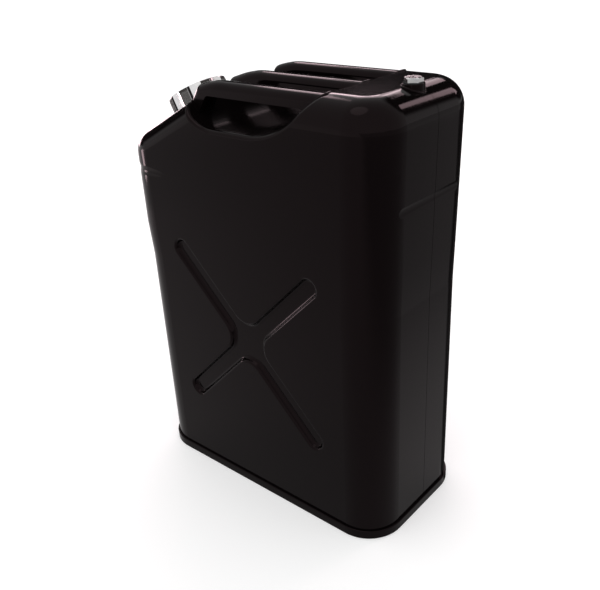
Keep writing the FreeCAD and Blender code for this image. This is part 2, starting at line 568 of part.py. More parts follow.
def round_top(name, bar, front_reach, width, radius):
    """Rounds the long edges of a handle's bar along its top, ramp and leg."""
    half, near_outside = number(width) / 2, number("Sizes.handle_depth / 3")
    top, ramp_x, leg_x = number(HANDLE_TOP), number(RAMP_X), number(corner_x(front_reach))
    leg_z = number(ramp_level(corner_x(front_reach), "0"))
    ramp, leg = (math.radians(number(f"Sizes.handle_{part}_angle")) for part in ("ramp", "leg"))

    def on_top(edge):
        point = middle(edge)
        on_side = all(abs(abs(v.Y) - half) < 0.01 for v in edge.Vertexes) and abs(abs(point.y) - half) < 0.01
        under_ramp = (top - point.z) * math.cos(ramp) + (point.x - ramp_x) * math.sin(ramp)
        behind_leg = (leg_z - point.z) * math.cos(leg) + (point.x - leg_x) * math.sin(leg)
        return on_side and min(top - point.z, under_ramp, behind_leg) < near_outside

    return round_edges(name, bar, [(on_top, number(radius))])


def handle_channel(name, front_reach):
    """One handle's channel before it is fitted to the can."""
    sheet_in, inside_width = "Sizes.handle_sheet", "Sizes.handle_width - 2 * Sizes.handle_sheet"
    bar = prism(f"{name}_bar", handle_side(f"{name}_outside", front_reach, "0", "0"), "Sizes.handle_width")
    cavity = prism(f"{name}_cavity", handle_side(f"{name}_inside", front_reach, sheet_in, sheet_in), inside_width)
    mouth_side = handle_side(f"{name}_mouth_side", front_reach, "Sizes.handle_depth / 2", f"-{sheet_in}")
    mouth = prism(f"{name}_mouth", mouth_side, "Sizes.handle_width - 2 * Sizes.handle_lip")
    soft_bar = round_top(f"{name}_soft_bar", bar, front_reach, "Sizes.handle_width", "Sizes.handle_edge")
    soft_cavity = round_top(f"{name}_soft_cavity", cavity, front_reach, inside_width,
                            "Sizes.handle_edge - Sizes.handle_sheet")
    hollow = shape_step("Part::MultiFuse", f"{name}_hollow", Shapes=[soft_cavity, mouth])
    return shape_step("Part::Cut", f"{name}_channel", Base=soft_bar, Tool=hollow)


side_channel = handle_channel("side_handle", "0")
centre_channel = handle_channel("centre_handle", "Sizes.middle_reach")
for label, channel, side in (("near_handle", side_channel, "-1"), ("middle_handle", centre_channel, "0"),
                             ("far_handle", side_channel, "1")):
    placed = doc.addObject("Part::Feature", f"{label}_channel")
    placed.Shape = channel.Shape
    placed.Placement.Base.y = number(f"{side} * Sizes.handle_spacing")
    piece(label, shape_step("Part::Cut", f"{label}_fitted", Base=placed, Tool=plain_skin))

# The filler neck stands square on the sloping shoulder: flange outside, spigot through the hole, lip rolled in.
piece("filler_neck", turned("neck", [
    ("Sizes.neck_bore", "-Sizes.neck_spigot", "0"), ("Sizes.neck_spigot_radius", "-Sizes.neck_spigot", "0"),
    ("Sizes.neck_spigot_radius", "0", "0"), ("Sizes.neck_flange_radius", "0", "0"),
    ("Sizes.neck_flange_radius", "Sizes.neck_flange", "0"), ("Sizes.neck_radius", "Sizes.neck_flange", "0"),
    ("Sizes.neck_radius", "Sizes.neck_height", "Sizes.neck_lip_round"),
    ("Sizes.neck_lip_bore", "Sizes.neck_height", "Sizes.neck_lip_round"),
    ("Sizes.neck_lip_bore", "Sizes.neck_height - Sizes.neck_lip", "Sizes.neck_lip_round"),
    ("Sizes.neck_bore", "Sizes.neck_height - Sizes.neck_lip", "0")], NECK, tilted=True))

# The collar hides the neck's flange.
collar_inside = "(Sizes.neck_flange_radius + Sizes.seam_clearance)"
piece("neck_collar", turned("collar", [
    (collar_inside, "Sizes.seam_clearance", "0"), ("Sizes.collar_radius", "Sizes.seam_clearance", "0"),
    ("Sizes.collar_radius", "Sizes.collar_height", "Sizes.collar_roll"),
    ("Sizes.neck_radius + Sizes.seam_clearance", "Sizes.collar_height", "0"),
    ("Sizes.neck_radius + Sizes.seam_clearance", "Sizes.neck_flange", "0"),
    (collar_inside, "Sizes.neck_flange", "0")], NECK, tilted=True))

# The cap: a deep cup with broad flutes, closed onto the neck by a gasket on a disc that a rivet carries.
GASKET = "(Sizes.neck_height + Sizes.seal_gap)"
DISC = f"({GASKET} + Sizes.gasket_thickness)"
CAP_INSIDE = f"({DISC} + Sizes.disc_sheet)"
CAP_TOP = f"({CAP_INSIDE} + Sizes.cap_sheet)"
CAP_BORE = "(Sizes.neck_radius + Sizes.cap_clearance)"
RIVET_HOLE = "Sizes.rivet_radius + Sizes.rivet_clearance"
cap = turned("cap", [
    (CAP_BORE, "Sizes.cap_start", "0"), ("Sizes.cap_radius", "Sizes.cap_start", "Sizes.cap_foot_round"),
    ("Sizes.cap_radius", CAP_TOP, "Sizes.cap_edge"), (RIVET_HOLE, CAP_TOP, "0"), (RIVET_HOLE, CAP_INSIDE, "0"),
    (CAP_BORE, CAP_INSIDE, "0")], NECK, tilted=True)
flute_sketch = cap.newObject("Sketcher::SketchObject", "flute_plan")
flute_sketch.AttachmentSupport = ([item for item in cap.Origin.OriginFeatures if item.Role == "XY_Plane"][0], "")
flute_sketch.MapMode = "FlatFace"
circle(flute_sketch, "Sizes.cap_radius - Sizes.flute_depth + Sizes.flute_radius", "0", "Sizes.flute_radius")
doc.recompute()
flute = pocket(cap, "flute", flute_sketch, f"{CAP_TOP} + Sizes.cap_sheet", upward=True)
flutes = cap.newObject("PartDesign::PolarPattern", "flutes")
flutes.Originals = [flute]
flutes.Axis = (flute_sketch, ["N_Axis"])
flutes.Angle = 360
flutes.setExpression("Occurrences", "Sizes.flute_count")
cap.Tip = flutes
doc.recompute()
piece("cap_shell", cap)
disc_radius = f"({CAP_BORE} - Sizes.disc_clearance)"
piece("cap_disc", turned("disc", [
    ("Sizes.rivet_radius", DISC, "0"), (disc_radius, DISC, "0"), (disc_radius, CAP_INSIDE, "0"),
    ("Sizes.rivet_radius", CAP_INSIDE, "0")], NECK, tilted=True))
piece("cap_gasket", turned("gasket", [
    ("Sizes.gasket_bore", GASKET, "0"), (disc_radius, GASKET, "Sizes.gasket_round"), (disc_radius, DISC, "0"),
    ("Sizes.gasket_bore", DISC, "0")], NECK, tilted=True))
rivet_foot, rivet_top = f"({DISC} - Sizes.rivet_head_height)", f"({CAP_TOP} + Sizes.rivet_head_height)"
piece("cap_rivet", turned("rivet", [
    ("0", rivet_foot, "0"), ("Sizes.rivet_head", rivet_foot, "0"), ("Sizes.rivet_head", DISC, "0"),
    ("Sizes.rivet_radius", DISC, "0"), ("Sizes.rivet_radius", CAP_TOP, "0"), ("Sizes.rivet_head", CAP_TOP, "0"),
    ("Sizes.rivet_head", rivet_top, "Sizes.rivet_dome"), ("0", rivet_top, "0")],
    NECK, tilted=True))

# The vent: a boss seated on the rear of the hump, a screw plug with a hexagon head, and the washer between them.
boss = turned("boss", [
    ("Sizes.vent_bore", "-Sizes.boss_root", "0"), ("Sizes.boss_radius", "-Sizes.boss_root", "0"),
    ("Sizes.boss_radius", "Sizes.boss_height", "Sizes.boss_round"), ("Sizes.vent_bore", "Sizes.boss_height", "0")],
    VENT)
piece("vent_boss", shape_step("Part::Cut", "boss_fitted", Base=boss, Tool=plain_skin))
HEAD = "(Sizes.boss_height + Sizes.vent_washer)"
piece("vent_washer", turned("washer", [
    ("Sizes.vent_washer_bore", "Sizes.boss_height", "0"), ("Sizes.vent_washer_radius", "Sizes.boss_height", "0"),
    ("Sizes.vent_washer_radius", HEAD, "0"), ("Sizes.vent_washer_bore", HEAD, "0")], VENT))
shank_radius, head_top = "(Sizes.vent_bore - Sizes.vent_clearance)", f"({HEAD} + Sizes.vent_head)"
head_radius = "(Sizes.vent_hexagon / 2 / cos(30))"
chamfer_radius = "(Sizes.vent_hexagon / 2 - Sizes.vent_chamfer_inset)"
plug = turned("plug", [
    ("0", f"{HEAD} - Sizes.vent_shank", "0"), (shank_radius, f"{HEAD} - Sizes.vent_shank", "0"),
    (shank_radius, HEAD, "0"), (head_radius, HEAD, "0"), (head_radius, f"{head_top} - Sizes.vent_chamfer", "0"),
    (chamfer_radius, head_top, "0"), ("0", head_top, "0")], VENT)
hexagon = plug.newObject("Sketcher::SketchObject", "hexagon_plan")
hexagon.AttachmentSupport = ([item for item in plug.Origin.OriginFeatures if item.Role == "XY_Plane"][0], "")
hexagon.MapMode = "FlatFace"
hexagon.setExpression("AttachmentOffset.Base.z", HEAD)
circle(hexagon, "0", "0", "Sizes.vent_hexagon")
flat, half_side = "(Sizes.vent_hexagon / 2)", "(Sizes.vent_hexagon / 2 * tan(30))"
hexagon_corners = [(flat, f"-{half_side}"), (flat, half_side), ("0", f"2 * {half_side}"), (f"-{flat}", half_side),
                   (f"-{flat}", f"-{half_side}"), ("0", f"-2 * {half_side}")]
add_outline(hexagon, [(x, y, "0") for x, y in hexagon_corners])
pocket(plug, "hexagon_sides", hexagon, "2 * Sizes.vent_head", upward=True)
piece("vent_plug", plug)

doc.recompute()
faults = [step.Name for step in doc.Objects if {"Invalid", "Error"} & set(step.State)]
faults += [label for label, item in pieces.items() if item.Shape.isNull() or not item.Shape.isValid()]
if faults:
    raise ValueError(f"not built: {faults}")
os.makedirs("parts", exist_ok=True)
for label, item in pieces.items():
    item.Shape.exportStep(f"parts/{label}.step")
    print(f"{label}: {len(item.Shape.Solids)} solid, {item.Shape.Volume / 1000:.2f} cm3")
print(f"inside volume about {plain_inner.Shape.Volume / 1e6:.2f} litres")
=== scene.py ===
import math

import bpy
from mathutils import Matrix, Vector
from mathutils.bvhtree import BVHTree


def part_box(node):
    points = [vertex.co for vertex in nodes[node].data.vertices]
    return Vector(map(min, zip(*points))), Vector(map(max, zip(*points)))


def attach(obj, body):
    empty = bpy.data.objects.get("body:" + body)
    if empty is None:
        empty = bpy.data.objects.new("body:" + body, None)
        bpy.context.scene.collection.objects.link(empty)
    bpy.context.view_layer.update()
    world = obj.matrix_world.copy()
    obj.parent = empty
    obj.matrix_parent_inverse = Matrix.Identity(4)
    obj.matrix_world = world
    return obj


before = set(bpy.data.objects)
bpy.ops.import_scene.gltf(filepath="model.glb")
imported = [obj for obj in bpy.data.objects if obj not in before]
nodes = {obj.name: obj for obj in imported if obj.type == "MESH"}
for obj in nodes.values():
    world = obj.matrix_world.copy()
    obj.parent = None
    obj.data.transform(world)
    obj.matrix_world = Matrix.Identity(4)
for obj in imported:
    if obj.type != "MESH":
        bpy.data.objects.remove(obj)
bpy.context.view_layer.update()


# The body: two pressed halves and a base of deep-drawn steel sheet, with the neck, the vent boss and three
# pressed handles welded on, then dipped and stoved in one go. The thick near-black gloss enamel flows round
# every edge and keeps a faint orange peel.
ENAMEL_BLACK = (0.0022, 0.0015, 0.0016, 1)
ENAMEL_TINT = (1.0, 0.72, 0.76, 1)
ENAMEL_SHINE, SHADED_TROUGH_SHINE = 0.085, 0.004
DUSTY_ROUGHNESS = 0.2
TROUGH_MIDDLE, TROUGH_REACH, TROUGH_EDGES = (0.012, 0.0, 0.424), (0.088, 0.082, 0.030), (1.0, 0.9)
PEEL_STRENGTH, PEEL_DEPTH = 0.08, 0.0006


def new_group(name, numbers, result):
    """An empty shader group that takes a vector and named numbers, and puts out one number."""
    group = bpy.data.node_groups.new(name, "ShaderNodeTree")
    group.interface.new_socket("Vector", in_out="INPUT", socket_type="NodeSocketVector")
    for socket, number in numbers.items():
        made = group.interface.new_socket(socket, in_out="INPUT", socket_type="NodeSocketFloat")
        made.default_value = number
    group.interface.new_socket(result, in_out="OUTPUT", socket_type="NodeSocketFloat")
    return group, group.nodes.new("NodeGroupInput").outputs, group.nodes.new("NodeGroupOutput").inputs[result]


def mapped(tree, vector, kind="POINT", **values):
    """Coordinates moved, turned or scaled by a mapping node's Location, Rotation and Scale."""
    node = tree.nodes.new("ShaderNodeMapping")
    node.vector_type = kind
    for socket, value in values.items():
        node.inputs[socket].default_value = value
    tree.links.new(vector, node.inputs["Vector"])
    return node.outputs["Vector"]


def noise(tree, vector, size, detail, roughness=0.5):
    """A noise between about 0.3 and 0.7; its size is a socket."""
    node = tree.nodes.new("ShaderNodeTexNoise")
    node.inputs["Detail"].default_value = detail
    node.inputs["Roughness"].default_value = roughness
    tree.links.new(vector, node.inputs["Vector"])
    tree.links.new(size, node.inputs["Scale"])
    return node.outputs["Fac"]


def blend(tree, mask, first, second, kind="FLOAT"):
    """The first number or colour where the mask is 0, the second where it is 1; either may be a socket."""
    node = tree.nodes.new("ShaderNodeMix")
    node.data_type = kind
    tree.links.new(mask, node.inputs["Factor"])
    for socket, value in (("A", first), ("B", second)):
        if isinstance(value, bpy.types.NodeSocket):
            tree.links.new(value, node.inputs[socket])
        else:
            node.inputs[socket].default_value = value
    return node.outputs["Result"]


# Orange peel of the paint over slow waves of the sheet, which run up and down the pressed sides.
orange_peel, given, height = new_group(
    "orange peel", {"Peel Size": 90.0, "Wave Size": 7.0, "Wave Share": 0.5}, "Height")
peel = noise(orange_peel, given["Vector"], given["Peel Size"], 2.0)
upright_sheet = mapped(orange_peel, given["Vector"], Scale=(1.0, 1.0, 0.12))
wave = noise(orange_peel, upright_sheet, given["Wave Size"], 1.0)
orange_peel.links.new(blend(orange_peel, given["Wave Share"], peel, wave), height)


def step(tree, source, start, end, form="SMOOTHSTEP"):
    """A rise from 0 where the source is at start to 1 where it is at end, soft unless form says LINEAR."""
    node = tree.nodes.new("ShaderNodeMapRange")
    node.interpolation_type = form
    node.inputs["From Min"].default_value = start
    node.inputs["From Max"].default_value = end
    tree.links.new(source, node.inputs["Value"])
    return node.outputs["Result"]


# Cloudy patches between a low and a high number, for handling, wear and an uneven coat.
patches, given, value = new_group("patches", {"Size": 20.0, "Low": 0.0, "High": 1.0}, "Value")
cloud = noise(patches, given["Vector"], given["Size"], 5.0, roughness=0.6)
cloudy = step(patches, cloud, 0.35, 0.68, form="LINEAR")
patches.links.new(blend(patches, cloudy, given["Low"], given["High"]), value)


def new_material(name):
    """An empty material with its tree, its Principled shader and its object coordinates."""
    material = bpy.data.materials.new(name)
    material.use_nodes = True
    tree = material.node_tree
    shader = tree.nodes["Principled BSDF"]
    place = tree.nodes.new("ShaderNodeTexCoord").outputs["Object"]
    return material, tree, shader, place


def put_group(tree, group, vector, **numbers):
    """Places a group in a material with its own numbers, and gives what it puts out."""
    node = tree.nodes.new("ShaderNodeGroup")
    node.node_tree = group
    tree.links.new(vector, node.inputs["Vector"])
    for socket, number in numbers.items():
        node.inputs[socket.replace("_", " ")].default_value = number
    return node.outputs[0]


def reckon(tree, operation, first, second=0.0):
    """A sum on two numbers or sockets, or on the first alone."""
    node = tree.nodes.new("ShaderNodeMath")
    node.operation = operation
    for socket, value in zip(node.inputs, (first, second)):
        if isinstance(value, bpy.types.NodeSocket):
            tree.links.new(value, socket)
        else:
            socket.default_value = value
    return node.outputs[0]


def reckon_vector(tree, operation, vector, fixed=None):
    """A sum on a vector and a fixed one, or on the first alone; a length or a dot product is a number."""
    node = tree.nodes.new("ShaderNodeVectorMath")
    node.operation = operation
    tree.links.new(vector, node.inputs[0])
    if fixed is not None:
        node.inputs[1].default_value = fixed
    return node.outputs["Value" if operation in ("LENGTH", "DOT_PRODUCT") else "Vector"]


def split(tree, vector):
    """The three coordinates of a vector."""
    node = tree.nodes.new("ShaderNodeSeparateXYZ")
    tree.links.new(vector, node.inputs[0])
    return node.outputs


def bump(tree, height, strength, depth):
    """A relief that is as deep as given, in metres."""
    node = tree.nodes.new("ShaderNodeBump")
    node.inputs["Strength"].default_value = strength
    node.inputs["Distance"].default_value = depth
    tree.links.new(height, node.inputs["Height"])
    return node.outputs["Normal"]


def coat(names, material):
    """Takes the plain material off CAD pieces and puts their real finish on."""
    for name in names:
        slots = nodes[name].data.materials
        slots.clear()
        slots.append(material)


enamel, tree, shader, place = new_material("gloss_black_enamel")
shader.inputs["Base Color"].default_value = ENAMEL_BLACK
shader.inputs["Specular IOR Level"].default_value = ENAMEL_SHINE
shader.inputs["Specular Tint"].default_value = ENAMEL_TINT
peel = put_group(tree, orange_peel, place, Peel_Size=300.0, Wave_Size=26.0, Wave_Share=0.6)
tree.links.new(bump(tree, peel, PEEL_STRENGTH, PEEL_DEPTH), shader.inputs["Normal"])
# Dust and handling dull the paint in the trough, and painted shade under the handles all but takes its shine,
# in a soft-edged box round its middle.
from_middle = reckon_vector(tree, "SUBTRACT", place, TROUGH_MIDDLE)
shares = reckon_vector(tree, "ABSOLUTE", reckon_vector(tree, "DIVIDE", from_middle, TROUGH_REACH))
along, across, upright = split(tree, shares)
reach = reckon(tree, "MAXIMUM", reckon(tree, "MAXIMUM", along, across), upright)
dust_and_shade = step(tree, reach, *TROUGH_EDGES)
gloss = put_group(tree, patches, place, Size=14.0, Low=0.075, High=0.115)
tree.links.new(blend(tree, dust_and_shade, gloss, DUSTY_ROUGHNESS), shader.inputs["Roughness"])
# Painted shade: in the trough the shine drops almost to nothing, so the paint there mirrors next to no light.
tree.links.new(blend(tree, dust_and_shade, ENAMEL_SHINE, SHADED_TROUGH_SHINE), shader.inputs["Specular IOR Level"])
coat(("near_shell", "far_shell", "base_pan", "near_handle", "middle_handle", "far_handle",
      "filler_neck", "neck_collar", "vent_boss"), enamel)


# The cap's rivet, like the cap and the vent plug, is turned steel with a bright nickel plate, polished by
# tumbling, so that fine scratches run every way and the plate is a little cloudy in patches.
NICKEL_BRIGHT, NICKEL_CLOUDY = (0.70, 0.69, 0.68, 1), (0.60, 0.60, 0.61, 1)
SCRATCH_STRENGTH, SCRATCH_DEPTH = 0.12, 0.0003
SCRATCH_LAYS = (((0.4, 0.9, 0.3), (1.0, 14.0, 3.0)), ((1.2, -0.5, 2.0), (12.0, 1.0, 4.0)))
# Fine scratches: two sets of long thin streaks that cross, each with its turn and its stretch.
scratches, given, height = new_group("scratches", {"Size": 60.0}, "Height")
streaks = []
for turned, stretched in SCRATCH_LAYS:
    lay = mapped(scratches, given["Vector"], Rotation=turned, Scale=stretched)
    streak = noise(scratches, lay, given["Size"], 4.0)
    streaks.append(step(scratches, streak, 0.58, 0.72, form="LINEAR"))
scratches.links.new(reckon(scratches, "MAXIMUM", *streaks), height)


def cloudy_finish(tree, shader, place, shades, shade_size, dullness, dullness_size):
    """Colour that drifts between two shades in patches, and roughness that drifts between two numbers."""
    tone = put_group(tree, patches, place, Size=shade_size, Low=0.0, High=1.0)
    tree.links.new(blend(tree, tone, *shades, kind="RGBA"), shader.inputs["Base Color"])
    dull = put_group(tree, patches, place, Size=dullness_size, Low=dullness[0], High=dullness[1])
    tree.links.new(dull, shader.inputs["Roughness"])


plate, tree, shader, place = new_material("bright_nickel_plate")
shader.inputs["Metallic"].default_value = 1.0
cloudy_finish(tree, shader, place, (NICKEL_BRIGHT, NICKEL_CLOUDY), 90.0, (0.10, 0.24), 160.0)
marks = put_group(tree, scratches, place, Size=70.0)
tree.links.new(bump(tree, marks, SCRATCH_STRENGTH, SCRATCH_DEPTH), shader.inputs["Normal"])
coat(("cap_rivet",), plate)


# The cap's shell: the same plate, dark between the ridges of its eight knurled lands and lighter on their
# tops.
# A dark line of painted shade runs down one side of each flute, where its corner meets the land. Angles are in
# degrees from the middle of a flute, radii from the cap's axis.
CAP_TILT = math.radians(-27.5)
CAP_PLACE = Vector((-0.122, 0.0, 0.421113))
LANDS = 8
FLUTE_STEP = 360 / LANDS
LAND_STARTS = (13.1, 13.9)
SIDE_STARTS = (0.0318, 0.0325)
RIDGE_TOPS = (0.03475, 0.03498)
SHADE_LINE_PLACE, SHADE_LINE_ENDS = 10.9, (2.7, 1.9)
BETWEEN_RIDGES, WORN_RIDGE, SHADE_LINE_DARK = (0.04, 0.038, 0.036, 1), (0.30, 0.295, 0.29, 1), (0.012, 0.011, 0.011, 1)


def copy_material(source, name):
    """A copy of a finish to add to, with its tree, its Principled shader and its object coordinates."""
    material = source.copy()
    material.name = name
    tree = material.node_tree
    place = tree.nodes.new("ShaderNodeTexCoord").outputs["Object"]
    return material, tree, tree.nodes["Principled BSDF"], place


cap_plate, tree, shader, place = copy_material(plate, "bright_nickel_cap")
on_cap = mapped(tree, place, "TEXTURE", Location=CAP_PLACE, Rotation=(0, CAP_TILT, 0))
along, across, _ = split(tree, on_cap)
radius = reckon_vector(tree, "LENGTH", reckon_vector(tree, "MULTIPLY", on_cap, (1.0, 1.0, 0.0)))
turn = reckon(tree, "DIVIDE", reckon(tree, "ARCTAN2", across, along), math.radians(FLUTE_STEP))
from_flute = reckon(tree, "MULTIPLY", reckon(tree, "PINGPONG", turn, 0.5), FLUTE_STEP)
one_way = reckon(tree, "MULTIPLY", reckon(tree, "SUBTRACT", turn, reckon(tree, "ROUND", turn)), FLUTE_STEP)
from_shade_line = reckon(tree, "ABSOLUTE", reckon(tree, "ADD", one_way, SHADE_LINE_PLACE))
on_side = step(tree, radius, *SIDE_STARTS)
on_land = reckon(tree, "MULTIPLY", step(tree, from_flute, *LAND_STARTS), on_side)
# Painted shade: a dark line down one side of each flute, where its corner meets the land.
on_shade_line = reckon(tree, "MULTIPLY", step(tree, from_shade_line, *SHADE_LINE_ENDS), on_side)
clean = shader.inputs["Base Color"].links[0].from_socket
ridged = blend(tree, step(tree, radius, *RIDGE_TOPS), BETWEEN_RIDGES, WORN_RIDGE, kind="RGBA")
dark_lands = blend(tree, on_land, clean, ridged, kind="RGBA")
tree.links.new(blend(tree, on_shade_line, dark_lands, SHADE_LINE_DARK, kind="RGBA"), shader.inputs["Base Color"])
coat(("cap_shell",), cap_plate)

# The knurls of the cap: nine fine ridges along the cap on each of the lands between its flutes. Each ridge is
# a slim six-sided bar with pointed ends, half sunk in the plate.
RIDGES, RIDGE_STEP = 9, 2.0
RIDGE_RADIUS, RIDGE_LENGTH, RIDGE_POINT = 0.00042, 0.0152, 0.0001
RIDGE_CIRCLE, RIDGE_MIDDLE = 0.03452, 0.0146
bpy.ops.object.select_all(action="DESELECT")
bpy.ops.mesh.primitive_cylinder_add(vertices=6, radius=RIDGE_RADIUS, depth=RIDGE_LENGTH)
bpy.ops.object.mode_set(mode="EDIT")
bpy.ops.mesh.select_all(action="SELECT")
bpy.ops.mesh.bevel(offset=RIDGE_POINT, segments=1)
bpy.ops.object.mode_set(mode="OBJECT")
ridges = [bpy.context.object]
while len(ridges) < LANDS * RIDGES:
    ridge = ridges[0].copy()
    ridge.data = ridges[0].data.copy()
    bpy.context.scene.collection.objects.link(ridge)
    ridges.append(ridge)
cap_turn = Matrix.Rotation(CAP_TILT, 4, "Y")
for number, ridge in enumerate(ridges):
    land, line = divmod(number, RIDGES)
    angle = math.radians(FLUTE_STEP * (land + 0.5) + RIDGE_STEP * (line - RIDGES // 2))
    on_circle = Vector((RIDGE_CIRCLE * math.cos(angle), RIDGE_CIRCLE * math.sin(angle), RIDGE_MIDDLE))
    ridge.matrix_world = Matrix.Translation(CAP_PLACE + cap_turn @ on_circle) @ cap_turn
    ridge.select_set(True)
bpy.context.view_layer.objects.active = ridges[0]
bpy.ops.object.join()
bpy.ops.object.transform_apply(location=True, rotation=True, scale=True)
knurls = bpy.context.object
knurls.name = "cap_knurls"
knurls.data.materials.append(cap_plate)
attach(knurls, "cap")

# The neck's thread: one rounded ridge, rolled into the neck's wall and painted with it, that winds up the
# outside of the neck with the cap's pitch.
THREAD_RADIUS, THREAD_START, THREAD_PITCH = 0.0310, 0.0085, 0.00597
THREAD_RIDGE, THREAD_FLATNESS = 0.0011, 0.42
THREAD_SWEEP, THREAD_STEPS = 500, 96
bpy.ops.object.select_all(action="DESELECT")
bpy.ops.mesh.primitive_circle_add(vertices=10, radius=THREAD_RIDGE, location=(THREAD_RADIUS, 0, THREAD_START),
                                  rotation=(math.radians(90), 0, 0))
bpy.ops.object.transform_apply(location=True, rotation=True, scale=True)
neck_thread = bpy.context.object
neck_thread.name = "neck_thread"
bpy.ops.object.mode_set(mode="EDIT")
bpy.ops.mesh.select_all(action="SELECT")
bpy.ops.transform.resize(value=(THREAD_FLATNESS, 1.0, 1.0), center_override=(THREAD_RADIUS, 0, THREAD_START))
bpy.ops.object.mode_set(mode="OBJECT")
wind = neck_thread.modifiers.new("wind", "SCREW")
wind.angle = math.radians(THREAD_SWEEP)
wind.screw_offset = THREAD_PITCH * THREAD_SWEEP / 360
wind.steps = THREAD_STEPS
wind.render_steps = THREAD_STEPS
bpy.ops.object.modifier_apply(modifier="wind")
bpy.ops.object.mode_set(mode="EDIT")
bpy.ops.mesh.select_all(action="SELECT")
bpy.ops.mesh.normals_make_consistent(inside=False)
bpy.ops.object.mode_set(mode="OBJECT")
neck_thread.matrix_world = Matrix.Translation(CAP_PLACE) @ cap_turn
bpy.ops.object.transform_apply(location=True, rotation=True, scale=True)
bpy.ops.object.shade_smooth()
neck_thread.data.materials.append(enamel)
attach(neck_thread, "root")


# The vent plug: a hexagon screw of plated steel with its thread cut below the head. The groove's height
# follows the angle round the plug's axis and the place along it.
PLUG_PITCH, PLUG_GROOVE = 0.002, 0.0012
THREAD_UNDER_WASHER = 0.0004
screw_thread, given, height = new_group("screw thread", {"Pitch": PLUG_PITCH, "Top": 0.0}, "Height")
along, across, upright = split(screw_thread, given["Vector"])
around = reckon(screw_thread, "DIVIDE", reckon(screw_thread, "ARCTAN2", across, along), math.tau)
turns = reckon(screw_thread, "DIVIDE", upright, given["Pitch"])
groove = reckon(screw_thread, "PINGPONG", reckon(screw_thread, "SUBTRACT", turns, around), 0.5)
below = reckon(screw_thread, "LESS_THAN", upright, given["Top"])
screw_thread.links.new(reckon(screw_thread, "MULTIPLY", groove, below), height)

plug_plate, tree, shader, place = copy_material(plate, "bright_nickel_plug")
plug_low, plug_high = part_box("vent_plug")
_, washer_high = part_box("vent_washer")
plug_axis = ((plug_low[0] + plug_high[0]) / 2, (plug_low[1] + plug_high[1]) / 2, 0)
from_axis = reckon_vector(tree, "SUBTRACT", place, plug_axis)
thread = put_group(tree, screw_thread, from_axis, Pitch=PLUG_PITCH, Top=washer_high[2] - THREAD_UNDER_WASHER)
scratch_bump = shader.inputs["Normal"].links[0].from_node
tree.links.new(bump(tree, thread, 1.0, PLUG_GROOVE), scratch_bump.inputs["Normal"])
coat(("vent_plug",), plug_plate)


# The disc in the cap: pressed from steel sheet, and zinc plated, which is duller and bluer than nickel and
# cloudy in patches. The rivet holds it in the cap, with the gasket under it.
ZINC_SHADES = ((0.52, 0.54, 0.56, 1), (0.42, 0.43, 0.46, 1))
zinc, tree, shader, place = new_material("zinc_plate")
shader.inputs["Metallic"].default_value = 1.0
cloudy_finish(tree, shader, place, ZINC_SHADES, 120.0, (0.28, 0.45), 60.0)
coat(("cap_disc",), zinc)


# The seals: the cap's gasket and the plug's washer, punched from black nitrile rubber. It is matt and finely
# grained, with a grey bloom in patches.
RUBBER_SHADES = ((0.012, 0.012, 0.013, 1), (0.030, 0.030, 0.032, 1))
RUBBER_SHINE = 0.35
GRAIN_STRENGTH, GRAIN_DEPTH = 0.3, 0.0002
rubber, tree, shader, place = new_material("seal_rubber")
shader.inputs["Specular IOR Level"].default_value = RUBBER_SHINE
cloudy_finish(tree, shader, place, RUBBER_SHADES, 80.0, (0.6, 0.8), 200.0)
grain = put_group(tree, orange_peel, place, Peel_Size=2500.0, Wave_Size=300.0, Wave_Share=0.3)
tree.links.new(bump(tree, grain, GRAIN_STRENGTH, GRAIN_DEPTH), shader.inputs["Normal"])
coat(("cap_gasket", "vent_washer"), rubber)


